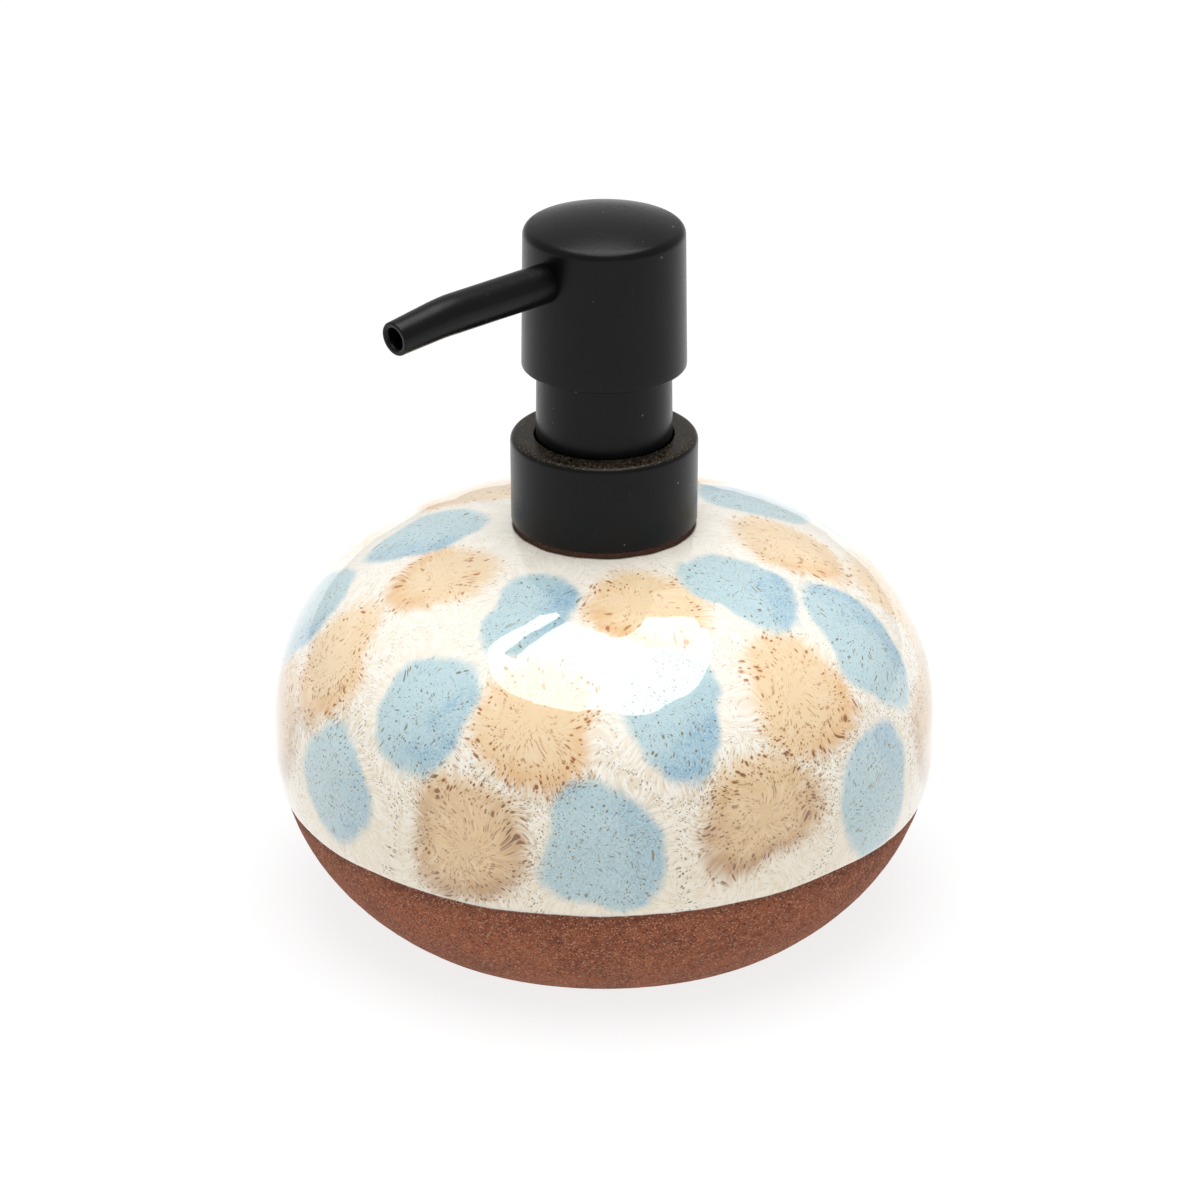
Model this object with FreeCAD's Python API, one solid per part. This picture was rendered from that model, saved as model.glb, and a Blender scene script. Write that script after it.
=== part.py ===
import FreeCAD, Part

import math
import os

# Glazed stoneware soap bottle with a screw-on lotion pump. Millimetres, +Z up.
# The origin is the centre of the foot on the surface that the bottle stands on,
# the pump's axis is Z, and the spout points along -Y.

V = FreeCAD.Vector
Z = V(0, 0, 1)
ORIGIN = V(0, 0, 0)

# ---- bottle: two superellipses of revolution that meet at the widest circle ----
BODY_R = 60.0                # widest radius, over the glaze
BODY_EQUATOR_Z = 31.6        # height of the widest circle
BODY_UP_H = 41.1             # semi-height of the upper superellipse
BODY_LOW_H = 44.0            # semi-height of the lower superellipse, cut at the foot
BODY_UP_N = 2.49
BODY_LOW_N = 2.10
GLAZE_T = 0.45               # thickness of the glaze on the outside
GLAZE_LINE_Z = 23.0          # where the glaze ends and the bare clay begins
WALL_T = 5.0                 # clay wall
FLOOR_Z = 7.0                # inside floor
FOOT_CHAMFER = 0.6
FOOT_RECESS_R = 33.0
FOOT_RECESS_H = 1.2
MOUTH_R = 13.2              # hole through the top of the bottle
NECK_RING_R = 16.15          # low unglazed ring under the collar
NECK_RING_TOP_Z = 73.0
NECK_RING_SINK = 4.0         # how deep the ring is rooted in the shoulder
MOUTH_BOTTOM_Z = 60.0        # the mouth's hole starts inside the hollow
CAP_R = 4.0                  # flat at the outline's top, inside the mouth
FOOT_RECESS_DRAFT = 1.0

# ---- threaded insert bonded in the mouth ----
INSERT_PLUG_R = 12.9
INSERT_BORE_R = 11.6
INSERT_PLUG_BOTTOM_Z = 65.0
INSERT_FLANGE_R = 15.0
INSERT_FLANGE_T = 1.2
INSERT_ROOT_R = 12.6         # root of its outside thread
INSERT_CREST_R = 13.75
INSERT_TOP_Z = 84.0
ADHESIVE_BOTTOM_Z = 68.5
ADHESIVE_SETBACK = 0.2       # the adhesive ends below the neck ring's top

# ---- thread shared by the insert and the closure ring ----
THREAD_PITCH = 4.2
THREAD_ROOT_W = 1.5
THREAD_CREST_W = 0.8
THREAD_SINK = 0.3            # how deep a ridge is rooted in its tube
THREAD_TURNS = 1.25
INSERT_THREAD_Z = 76.4

# ---- collar: visible shell and the threaded ring inside it ----
COLLAR_R = 16.75
COLLAR_FOOT_R = 16.65
COLLAR_BOTTOM_Z = 73.2
COLLAR_TOP_Z = 89.25
COLLAR_EDGE_R = 1.2
COLLAR_HOLE_R = 12.45
COLLAR_INNER_R = 15.75
COLLAR_WEB_T = 0.8
RING_OUTER_R = 15.7
RING_ROOT_R = 14.05          # root of its inside thread
RING_CREST_R = 12.95
RING_BOTTOM_Z = 75.4
RING_WEB_T = 1.1
RING_GRIPS = 24
RING_GRIP_R = 0.35
RING_GRIP_STOP = 1.0         # the grooves end below the ring's top
RING_WEB_GAP = 0.1
RING_PHASE_DEG = 180         # its ridge starts opposite the insert's
RING_SEAM_DEG = 45           # the tube's seam lies clear of the ridge's ends

# ---- pump body ----
GASKET_T = 1.0
GASKET_R = 13.4
HOUSING_FLANGE_R = 13.3
HOUSING_FLANGE_T = 1.2
BARREL_R = 8.0
BARREL_BORE_R = 6.8
BARREL_BOTTOM_Z = 36.0
BARREL_FLOOR_Z = 37.6
BARREL_TAPER_H = 3.0
VALVE_SEAT_H = 1.2
VALVE_SEAT_FLARE = 0.7
PORT_R = 1.9
NIPPLE_R = 4.3
NIPPLE_BOTTOM_Z = 25.5
NIPPLE_STOP_Z = 33.0
AIR_HOLE_R = 0.6
AIR_HOLE_DROP = 1.0          # below the stem guide's plug
SLEEVE_FOOT_T = 1.0
SLEEVE_FOOT_R = 13.3
SLEEVE_BOTTOM_R = 12.2
SLEEVE_TOP_R = 12.0
SLEEVE_BORE_R = 10.9
SLEEVE_TOP_Z = 105.0
GUIDE_PLUG_BOTTOM_Z = 79.5
GUIDE_TOP_Z = 91.0
GUIDE_FLANGE_T = 1.6
GUIDE_BOSS_R = 7.4
WIPER_BOTTOM_Z = 87.4
WIPER_TOP_Z = 89.6
WIPER_R = 5.6
WIPER_TOP_W = 0.8            # wall left at the wiper's top
WIPER_NECK_W = 0.5
WIPER_NECK_DROP = 0.9
WIPER_LIP_H = 0.6
RUNNING_GAP = 0.05
PRESS_GAP = 0.02

# ---- plunger ----
STEM_R = 4.0
STEM_BORE_R = 1.9
STEM_BOTTOM_Z = 68.3
STEM_TOP_Z = 112.0
STEM_FOOT_R = 5.3
STEM_FOOT_H = 1.4
STEM_SHOULDER_R = 5.0
STEM_SHOULDER_Z = 77.6
STEM_SHOULDER_H = 1.3
PISTON_BOTTOM_Z = 69.8
PISTON_TOP_Z = 77.4
PISTON_WAIST_R = 6.0
PISTON_LIP_H = 1.6
PISTON_EDGE_H = 0.3
PISTON_FLARE_H = 0.6

SPRING_WIRE_R = 0.45
SPRING_COIL_R = 5.0
SPRING_TURNS = 8
SPRING_GAP = 0.1

# ---- valves ----
BALL_R = 2.4
BALL_LIFT = 1.2
SEAT_GAP = 0.02
STOP_GAP = 0.1               # left over a lifted ball
CAGE_FOOT_T = 1.2
CAGE_R = 4.3
CAGE_SILL_H = 1.4
CAGE_TOP_Z = 45.2
CAGE_BORE_R = 3.0
CAGE_WINDOWS = 3
CAGE_WINDOW_W = 2.4

# ---- dip tube ----
DIP_R = 2.9
DIP_BORE_R = 2.1
DIP_BOTTOM_Z = 9.0
DIP_NOTCH_DEG = 40           # slant of the cut across its end
DIP_NOTCH_RISE = 0.5

# ---- head and spout ----
HEAD_RIM_Z = 102.6
HEAD_RIM_R = 14.68
HEAD_TOP_R = 14.37
HEAD_FILLET_R = 1.8
HEAD_CROWN_R = 38.7
HEAD_APEX_Z = 130.9
HEAD_WALL_T = 1.5
HEAD_BORE_R = 13.05
HEAD_INNER_FILLET_R = 1.0
CORE_BOSS_R = 6.4
CORE_BOSS_BOTTOM_Z = 103.8
CORE_DISC_R = 12.95
CORE_DISC_Z = 117.7
CORE_DISC_T = 2.4
CORE_TOP_R = 10.6
CORE_TOP_Z = 126.4
CORE_CHAMBER_R = 3.0
CORE_CHAMBER_TOP_Z = 123.6
CORE_RIB_W = 1.0
CORE_RIB_H = 1.0
CORE_FINS = 4
CORE_FIN_W = 1.4
CORE_FIN_L = 10.0
CORE_FIN_RISE = 2.0          # the fins start above the boss's end
CORE_FIN_DEG = 45            # clear of the spout

SPOUT_Z = 121.35             # height of its axis
SPOUT_R = 3.55
SPOUT_BEND_Y = 37.6          # distance from the pump's axis to the bend
SPOUT_TIP_L = 11.2           # length of the tip beyond the bend
SPOUT_TIP_DROP_DEG = 6.0
SPOUT_TIP_R = 3.08
SPOUT_BORE_R = 1.9
SPOUT_PLUG_R = 2.95
SPOUT_PLUG_Y = 4.6
SPOUT_SHOULDER_Y = 11.4
SPOUT_HOLE_GAP = 0.03
SPOUT_LEAD_W = 0.35          # flare of the bore at the tip
SPOUT_LEAD_L = 0.6
SEAL_R = 3.5
SEAL_GROOVE_Y = 7.2
SEAL_GROOVE_W = 1.4
SEAL_GAP = 0.005

THROUGH = 20.0               # longer than anything that a cross hole passes through


def disc(radius, z0, z1):
    return Part.makeCylinder(radius, z1 - z0, V(0, 0, z0), Z)


def tube(outer, inner, z0, z1):
    return disc(outer, z0, z1).cut(disc(inner, z0, z1))


def cone(r0, r1, z0, z1):
    return Part.makeCone(r0, r1, z1 - z0, V(0, 0, z0), Z)


def revolve(edges):
    face = Part.Face(Part.Wire(edges))
    return face.revolve(ORIGIN, Z, 360)


def line(a, b):
    return Part.LineSegment(V(*a), V(*b)).toShape()


def polyline(points):
    """Edges through (radius, height) points, closed."""
    closed = points + points[:1]
    return [line((a[0], 0, a[1]), (b[0], 0, b[1])) for a, b in zip(closed, closed[1:])]


def turned(points):
    return revolve(polyline(points))


def superellipse_z(radius, offset, upper):
    """Height over the equator of the body's outline, moved in by offset."""
    half = (BODY_UP_H if upper else BODY_LOW_H) - offset
    n = BODY_UP_N if upper else BODY_LOW_N
    drop = half * (1 - (radius / (BODY_R - offset)) ** n) ** (1 / n)
    return BODY_EQUATOR_Z + (drop if upper else -drop)


def outline(offset, r_end, upper, steps=14):
    """Smooth edge from the widest circle to the radius r_end."""
    n = BODY_UP_N if upper else BODY_LOW_N
    widest = BODY_R - offset
    t_end = math.acos((r_end / widest) ** (n / 2))
    half = (BODY_UP_H if upper else BODY_LOW_H) - offset
    points = []
    for i in range(steps + 1):
        t = t_end * i / steps
        z = half * math.sin(t) ** (2 / n)
        radius = widest * math.cos(t) ** (2 / n)
        points.append(V(radius, 0, BODY_EQUATOR_Z + (z if upper else -z)))
    curve = Part.BSplineCurve()
    curve.interpolate(points)
    return curve.toShape()


def lower_radius(z, offset):
    """Radius of the body's outline at a height under the equator."""
    half = BODY_LOW_H - offset
    share = ((BODY_EQUATOR_Z - z) / half) ** BODY_LOW_N
    return (BODY_R - offset) * (1 - share) ** (1 / BODY_LOW_N)


def body_solid(offset, z_bottom, r_top):
    """Solid of revolution inside the body's outline, with a flat top and bottom."""
    r_bottom = lower_radius(z_bottom, offset)
    z_top = superellipse_z(r_top, offset, True)
    return revolve([
        outline(offset, r_top, True),
        line((r_top, 0, z_top), (0, 0, z_top)),
        line((0, 0, z_top), (0, 0, z_bottom)),
        line((0, 0, z_bottom), (r_bottom, 0, z_bottom)),
        outline(offset, r_bottom, False),
    ])


def bottle():
    clay = body_solid(GLAZE_T, 0, CAP_R)
    foot_r = lower_radius(0, GLAZE_T)
    trim = turned([
        (foot_r - FOOT_CHAMFER, 0),
        (foot_r + 2, 0),
        (foot_r + 2, FOOT_CHAMFER * 2),
    ])
    clay = clay.cut(trim)
    clay = clay.fuse(disc(NECK_RING_R, NECK_RING_TOP_Z - NECK_RING_SINK, NECK_RING_TOP_Z))
    clay = clay.cut(body_solid(WALL_T, FLOOR_Z, CAP_R))
    clay = clay.cut(disc(MOUTH_R, MOUTH_BOTTOM_Z, NECK_RING_TOP_Z + 1))
    clay = clay.cut(cone(FOOT_RECESS_R, FOOT_RECESS_R - FOOT_RECESS_DRAFT, 0, FOOT_RECESS_H))
    return clay.removeSplitter()


def glaze_coat():
    outer = body_solid(0, GLAZE_LINE_Z, CAP_R)
    inner = body_solid(GLAZE_T, GLAZE_LINE_Z - 1, CAP_R - 1)
    coat = outer.cut(inner)
    return coat.cut(disc(NECK_RING_R, MOUTH_BOTTOM_Z, NECK_RING_TOP_Z + 1))


def thread_ridge(r_root, r_crest, z_start, phase_deg):
    """Helical ridge of trapezium section, right handed."""
    helix = Part.makeHelix(THREAD_PITCH, THREAD_PITCH * THREAD_TURNS, r_root)
    half_root = THREAD_ROOT_W / 2
    half_crest = THREAD_CREST_W / 2
    outward = 1 if r_crest > r_root else -1
    back = r_root - outward * THREAD_SINK
    section = Part.makePolygon([
        V(back, 0, -half_root),
        V(r_root, 0, -half_root),
        V(r_crest, 0, -half_crest),
        V(r_crest, 0, half_crest),
        V(r_root, 0, half_root),
        V(back, 0, half_root),
        V(back, 0, -half_root),
    ])
    ridge = Part.Wire(helix.Edges).makePipeShell([section], True, True)
    ridge.rotate(ORIGIN, Z, phase_deg)
    ridge.translate(V(0, 0, z_start))
    return ridge


def neck_insert():
    plug = tube(INSERT_PLUG_R, INSERT_BORE_R, INSERT_PLUG_BOTTOM_Z, NECK_RING_TOP_Z)
    flange_top = NECK_RING_TOP_Z + INSERT_FLANGE_T
    flange = tube(INSERT_FLANGE_R, INSERT_BORE_R, NECK_RING_TOP_Z, flange_top)
    neck = tube(INSERT_ROOT_R, INSERT_BORE_R, flange_top, INSERT_TOP_Z)
    body = plug.fuse([flange, neck])
    return body.fuse(thread_ridge(INSERT_ROOT_R, INSERT_CREST_R, INSERT_THREAD_Z, 0))


def insert_adhesive():
    return tube(MOUTH_R, INSERT_PLUG_R, ADHESIVE_BOTTOM_Z, NECK_RING_TOP_Z - ADHESIVE_SETBACK)


def closure_ring():
    web_z = INSERT_TOP_Z + GASKET_T + HOUSING_FLANGE_T + SLEEVE_FOOT_T + RING_WEB_GAP
    top = web_z + RING_WEB_T
    web_hole_r = COLLAR_HOLE_R + RING_WEB_GAP
    body = turned([
        (RING_OUTER_R, RING_BOTTOM_Z),
        (RING_OUTER_R, top),
        (web_hole_r, top),
        (web_hole_r, web_z),
        (RING_ROOT_R, web_z),
        (RING_ROOT_R, RING_BOTTOM_Z),
    ])
    body.rotate(ORIGIN, Z, RING_SEAM_DEG)
    ridge = thread_ridge(RING_ROOT_R, RING_CREST_R, INSERT_THREAD_Z, RING_PHASE_DEG)
    body = body.fuse(ridge)
    for i in range(RING_GRIPS):
        groove = disc(RING_GRIP_R, RING_BOTTOM_Z, top - RING_GRIP_STOP)
        groove.translate(V(RING_OUTER_R, 0, 0))
        groove.rotate(ORIGIN, Z, 360 * (i + 0.5) / RING_GRIPS)
        body = body.cut(groove)
    return body


def collar_shell():
    corner_r = COLLAR_R - COLLAR_EDGE_R
    corner_z = COLLAR_TOP_Z - COLLAR_EDGE_R
    s = COLLAR_EDGE_R * math.sqrt(0.5)
    edge = Part.Arc(
        V(COLLAR_R, 0, corner_z),
        V(corner_r + s, 0, corner_z + s),
        V(corner_r, 0, COLLAR_TOP_Z),
    ).toShape()
    web_z = COLLAR_TOP_Z - COLLAR_WEB_T
    return revolve([
        line((COLLAR_FOOT_R, 0, COLLAR_BOTTOM_Z), (COLLAR_R, 0, corner_z)),
        edge,
        line((corner_r, 0, COLLAR_TOP_Z), (COLLAR_HOLE_R, 0, COLLAR_TOP_Z)),
        line((COLLAR_HOLE_R, 0, COLLAR_TOP_Z), (COLLAR_HOLE_R, 0, web_z)),
        line((COLLAR_HOLE_R, 0, web_z), (COLLAR_INNER_R, 0, web_z)),
        line((COLLAR_INNER_R, 0, web_z), (COLLAR_INNER_R, 0, COLLAR_BOTTOM_Z)),
        line((COLLAR_INNER_R, 0, COLLAR_BOTTOM_Z), (COLLAR_FOOT_R, 0, COLLAR_BOTTOM_Z)),
    ])


def gasket():
    return tube(GASKET_R, BARREL_R + RUNNING_GAP, INSERT_TOP_Z, INSERT_TOP_Z + GASKET_T)


def pump_housing():
    flange_z = INSERT_TOP_Z + GASKET_T
    flange_top = flange_z + HOUSING_FLANGE_T
    body = disc(BARREL_R, BARREL_BOTTOM_Z, flange_top)
    body = body.fuse(disc(HOUSING_FLANGE_R, flange_z, flange_top))
    body = body.fuse(disc(NIPPLE_R, NIPPLE_BOTTOM_Z, BARREL_BOTTOM_Z))
    body = body.fuse(cone(NIPPLE_R, BARREL_R, BARREL_BOTTOM_Z - BARREL_TAPER_H, BARREL_BOTTOM_Z))
    body = body.cut(disc(BARREL_BORE_R, BARREL_FLOOR_Z + VALVE_SEAT_H, flange_top))
    seat_top = BARREL_FLOOR_Z + VALVE_SEAT_H
    body = body.cut(cone(PORT_R, BALL_R + VALVE_SEAT_FLARE, BARREL_FLOOR_Z, seat_top))
    body = body.cut(disc(PORT_R, NIPPLE_STOP_Z, BARREL_FLOOR_Z))
    body = body.cut(disc(DIP_R, NIPPLE_BOTTOM_Z, NIPPLE_STOP_Z))
    air_start = V(0, 0, GUIDE_PLUG_BOTTOM_Z - AIR_HOLE_DROP)
    air_hole = Part.makeCylinder(AIR_HOLE_R, THROUGH, air_start, V(1, 0, 0))
    return body.cut(air_hole)


def guide_sleeve():
    foot_z = INSERT_TOP_Z + GASKET_T + HOUSING_FLANGE_T
    foot_top = foot_z + SLEEVE_FOOT_T
    wall = cone(SLEEVE_BOTTOM_R, SLEEVE_TOP_R, foot_top, SLEEVE_TOP_Z)
    foot = disc(SLEEVE_FOOT_R, foot_z, foot_top)
    return wall.fuse(foot).cut(disc(SLEEVE_BORE_R, foot_z, SLEEVE_TOP_Z))


def stem_guide():
    seat_z = INSERT_TOP_Z + GASKET_T + HOUSING_FLANGE_T
    plug = disc(BARREL_BORE_R - PRESS_GAP, GUIDE_PLUG_BOTTOM_Z, seat_z)
    flange = disc(SLEEVE_BORE_R - RUNNING_GAP, seat_z, seat_z + GUIDE_FLANGE_T)
    boss = disc(GUIDE_BOSS_R, seat_z + GUIDE_FLANGE_T, GUIDE_TOP_Z)
    body = plug.fuse([flange, boss])
    body = body.cut(disc(STEM_R + RUNNING_GAP, GUIDE_PLUG_BOTTOM_Z, GUIDE_TOP_Z))
    body = body.cut(disc(WIPER_R, WIPER_BOTTOM_Z, WIPER_TOP_Z))
    return body


def stem_wiper():
    """Seal ring with one lip in the guide's groove."""
    inner = STEM_R + RUNNING_GAP
    return turned([
        (WIPER_R, WIPER_BOTTOM_Z),
        (WIPER_R, WIPER_TOP_Z),
        (inner + WIPER_TOP_W, WIPER_TOP_Z),
        (inner + WIPER_NECK_W, WIPER_TOP_Z - WIPER_NECK_DROP),
        (inner, WIPER_BOTTOM_Z + WIPER_LIP_H),
        (inner, WIPER_BOTTOM_Z),
    ])


def ball_cage():
    """Spring seat and cage that keeps the inlet ball near its seat."""
    z0 = BARREL_FLOOR_Z + VALVE_SEAT_H
    ceiling = ball_centre(PORT_R, BARREL_FLOOR_Z) + BALL_R + BALL_LIFT + STOP_GAP
    foot = tube(BARREL_BORE_R - PRESS_GAP, CAGE_BORE_R, z0, z0 + CAGE_FOOT_T)
    cup = disc(CAGE_R, z0, CAGE_TOP_Z).cut(disc(CAGE_BORE_R, z0, ceiling))
    body = foot.fuse(cup)
    for i in range(CAGE_WINDOWS):
        window = Part.makeBox(BARREL_BORE_R, CAGE_WINDOW_W, ceiling - z0 - CAGE_SILL_H,
                              V(0, -CAGE_WINDOW_W / 2, z0 + CAGE_SILL_H))
        window.rotate(ORIGIN, Z, 360 * i / CAGE_WINDOWS)
        body = body.cut(window)
    return body


def ball_centre(bore_r, edge_z):
    """Height of a ball that rests on the rim of a bore."""
    return edge_z + math.sqrt(BALL_R ** 2 - bore_r ** 2)


def inlet_ball():
    return Part.makeSphere(BALL_R, V(0, 0, ball_centre(PORT_R, BARREL_FLOOR_Z) + SEAT_GAP))


def outlet_ball():
    return Part.makeSphere(BALL_R, V(0, 0, ball_centre(STEM_BORE_R, STEM_TOP_Z) + SEAT_GAP))


def dip_tube():
    wall = tube(DIP_R, DIP_BORE_R, DIP_BOTTOM_Z, NIPPLE_STOP_Z)
    notch = Part.makeBox(THROUGH, THROUGH, THROUGH, V(-THROUGH / 2, 0, -THROUGH))
    notch.rotate(ORIGIN, V(1, 0, 0), DIP_NOTCH_DEG)
    notch.translate(V(0, 0, DIP_BOTTOM_Z + DIP_NOTCH_RISE))
    return wall.cut(notch)


def piston():
    lip_r = BARREL_BORE_R - RUNNING_GAP
    inner = STEM_R + RUNNING_GAP
    return turned([
        (inner, PISTON_BOTTOM_Z),
        (PISTON_WAIST_R, PISTON_BOTTOM_Z),
        (lip_r, PISTON_BOTTOM_Z + PISTON_EDGE_H),
        (lip_r, PISTON_BOTTOM_Z + PISTON_LIP_H),
        (PISTON_WAIST_R, PISTON_BOTTOM_Z + PISTON_LIP_H + PISTON_FLARE_H),
        (PISTON_WAIST_R, PISTON_TOP_Z - PISTON_LIP_H - PISTON_FLARE_H),
        (lip_r, PISTON_TOP_Z - PISTON_LIP_H),
        (lip_r, PISTON_TOP_Z - PISTON_EDGE_H),
        (PISTON_WAIST_R, PISTON_TOP_Z),
        (inner, PISTON_TOP_Z),
    ])


def spring():
    z0 = BARREL_FLOOR_Z + VALVE_SEAT_H + CAGE_FOOT_T + SPRING_WIRE_R + SPRING_GAP
    z1 = STEM_BOTTOM_Z - SPRING_WIRE_R - SPRING_GAP
    pitch = (z1 - z0) / SPRING_TURNS
    helix = Part.makeLongHelix(pitch, z1 - z0, SPRING_COIL_R)
    section = Part.Wire(Part.Circle(V(SPRING_COIL_R, 0, 0), V(0, 1, 0), SPRING_WIRE_R).toShape())
    wire = Part.Wire(helix.Edges).makePipeShell([section], True, True)
    wire.translate(V(0, 0, z0))
    return wire


def stem():
    body = disc(STEM_R, STEM_BOTTOM_Z, STEM_TOP_Z)
    body = body.fuse(disc(STEM_FOOT_R, STEM_BOTTOM_Z, STEM_BOTTOM_Z + STEM_FOOT_H))
    shoulder_top = STEM_SHOULDER_Z + STEM_SHOULDER_H
    body = body.fuse(disc(STEM_SHOULDER_R, STEM_SHOULDER_Z, shoulder_top))
    return body.cut(disc(STEM_BORE_R, STEM_BOTTOM_Z, STEM_TOP_Z))


def head_shell():
    crown_z = HEAD_APEX_Z - HEAD_CROWN_R
    outer = dome_solid(HEAD_RIM_Z, HEAD_RIM_R, HEAD_TOP_R, HEAD_FILLET_R,
                       HEAD_CROWN_R, crown_z)
    inner = dome_solid(HEAD_RIM_Z, HEAD_BORE_R, HEAD_BORE_R, HEAD_INNER_FILLET_R,
                       HEAD_CROWN_R - HEAD_WALL_T, crown_z)
    hole = Part.makeCylinder(SPOUT_R + SPOUT_HOLE_GAP, THROUGH, V(0, 0, SPOUT_Z), V(0, -1, 0))
    return outer.cut(inner).cut(hole)


def dome_solid(z_rim, r_rim, r_top, fillet_r, crown_r, crown_z):
    """Slightly tapered cylinder with a filleted shoulder and a spherical crown."""
    centre_r = r_top - fillet_r
    reach = crown_r - fillet_r
    centre_z = crown_z + math.sqrt(reach ** 2 - centre_r ** 2)
    lean = math.atan2(centre_r, centre_z - crown_z)

    def on_fillet(angle):
        return V(centre_r + fillet_r * math.sin(angle), 0, centre_z + fillet_r * math.cos(angle))

    start = on_fillet(math.pi / 2)
    end = on_fillet(lean)
    half = lean / 2
    crown_mid = V(crown_r * math.sin(half), 0, crown_z + crown_r * math.cos(half))
    apex = V(0, 0, crown_z + crown_r)
    return revolve([
        line((0, 0, z_rim), (r_rim, 0, z_rim)),
        line((r_rim, 0, z_rim), (start.x, 0, start.z)),
        Part.Arc(start, on_fillet((math.pi / 2 + lean) / 2), end).toShape(),
        Part.Arc(end, crown_mid, apex).toShape(),
        line((0, 0, apex.z), (0, 0, z_rim)),
    ])


def head_core():
    body = disc(CORE_BOSS_R, CORE_BOSS_BOTTOM_Z, CORE_TOP_Z)
    body = body.fuse(disc(CORE_DISC_R, CORE_DISC_Z, CORE_DISC_Z + CORE_DISC_T))
    body = body.fuse(disc(CORE_TOP_R, CORE_DISC_Z, CORE_TOP_Z))
    fin_z = CORE_BOSS_BOTTOM_Z + CORE_FIN_RISE
    for i in range(CORE_FINS):
        fin = Part.makeBox(CORE_FIN_L, CORE_FIN_W, CORE_DISC_Z - fin_z, V(0, -CORE_FIN_W / 2, fin_z))
        fin.rotate(ORIGIN, Z, CORE_FIN_DEG + 360 * i / CORE_FINS)
        body = body.fuse(fin)
    body = body.cut(disc(STEM_R, CORE_BOSS_BOTTOM_Z, STEM_TOP_Z))
    body = body.cut(disc(CORE_CHAMBER_R, STEM_TOP_Z, CORE_CHAMBER_TOP_Z))
    rib_z = ball_centre(STEM_BORE_R, STEM_TOP_Z) + BALL_R + BALL_LIFT + STOP_GAP
    rib_half = CORE_CHAMBER_R + CORE_RIB_W / 2
    rib = Part.makeBox(2 * rib_half, CORE_RIB_W, CORE_RIB_H, V(-rib_half, -CORE_RIB_W / 2, rib_z))
    body = body.fuse(rib)
    forward = V(0, -1, 0)
    passage = Part.makeCylinder(SPOUT_BORE_R, THROUGH, V(0, -CORE_RIB_W, SPOUT_Z), forward)
    socket = Part.makeCylinder(SPOUT_PLUG_R, THROUGH, V(0, -SPOUT_PLUG_Y, SPOUT_Z), forward)
    face = Part.makeBox(2 * THROUGH, THROUGH, THROUGH, V(-THROUGH, -SPOUT_SHOULDER_Y - THROUGH, CORE_DISC_Z))
    groove = Part.makeCylinder(SEAL_R, SEAL_GROOVE_W, V(0, -SEAL_GROOVE_Y, SPOUT_Z), forward)
    return body.cut(passage).cut(socket).cut(face).cut(groove)


def spout_seal():
    ring_r = (SPOUT_PLUG_R + SEAL_R) / 2
    section_r = (SEAL_R - SPOUT_PLUG_R) / 2 - SEAL_GAP
    centre = V(0, -SEAL_GROOVE_Y - SEAL_GROOVE_W / 2, SPOUT_Z)
    return Part.makeTorus(ring_r, section_r, centre, V(0, 1, 0))


def spout():
    drop = math.radians(SPOUT_TIP_DROP_DEG)
    along = V(0, -math.cos(drop), -math.sin(drop))
    bend = V(0, -SPOUT_BEND_Y, SPOUT_Z)
    tip = bend + along * SPOUT_TIP_L
    plug = Part.makeCylinder(SPOUT_PLUG_R, SPOUT_SHOULDER_Y - SPOUT_PLUG_Y,
                             V(0, -SPOUT_PLUG_Y, SPOUT_Z), V(0, -1, 0))
    straight = Part.makeCylinder(SPOUT_R, SPOUT_BEND_Y - SPOUT_SHOULDER_Y,
                                 V(0, -SPOUT_SHOULDER_Y, SPOUT_Z), V(0, -1, 0))
    knee = Part.makeSphere(SPOUT_R, bend)
    nose = Part.makeCone(SPOUT_R, SPOUT_TIP_R, SPOUT_TIP_L, bend, along)
    body = plug.fuse([straight, knee, nose])
    bore_in = Part.makeCylinder(SPOUT_BORE_R, SPOUT_BEND_Y - SPOUT_PLUG_Y,
                                V(0, -SPOUT_PLUG_Y, SPOUT_Z), V(0, -1, 0))
    bore_knee = Part.makeSphere(SPOUT_BORE_R, bend)
    bore_out = Part.makeCylinder(SPOUT_BORE_R, SPOUT_TIP_L, bend, along)
    body = body.cut(bore_in.fuse([bore_knee, bore_out]))
    lead_start = tip - along * SPOUT_LEAD_L
    lead_in = Part.makeCone(SPOUT_BORE_R, SPOUT_BORE_R + SPOUT_LEAD_W, SPOUT_LEAD_L, lead_start, along)
    return body.cut(lead_in)


PIECES = {
    "bottle": bottle,
    "glaze_coat": glaze_coat,
    "neck_insert": neck_insert,
    "insert_adhesive": insert_adhesive,
    "closure_ring": closure_ring,
    "collar_shell": collar_shell,
    "gasket": gasket,
    "pump_housing": pump_housing,
    "guide_sleeve": guide_sleeve,
    "stem_guide": stem_guide,
    "stem_wiper": stem_wiper,
    "ball_cage": ball_cage,
    "inlet_ball": inlet_ball,
    "dip_tube": dip_tube,
    "piston": piston,
    "spring": spring,
    "stem": stem,
    "outlet_ball": outlet_ball,
    "head_core": head_core,
    "head_shell": head_shell,
    "spout_seal": spout_seal,
    "spout": spout,
}


def main():
    os.makedirs("parts", exist_ok=True)
    for name, make in PIECES.items():
        shape = make()
        solids = len(shape.Solids)
        shape.exportStep(os.path.join("parts", name + ".step"))
        print(f"{name}: {solids} solid, {shape.Volume:.1f} mm3, valid {shape.isValid()}")


main()
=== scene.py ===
import math

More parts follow.
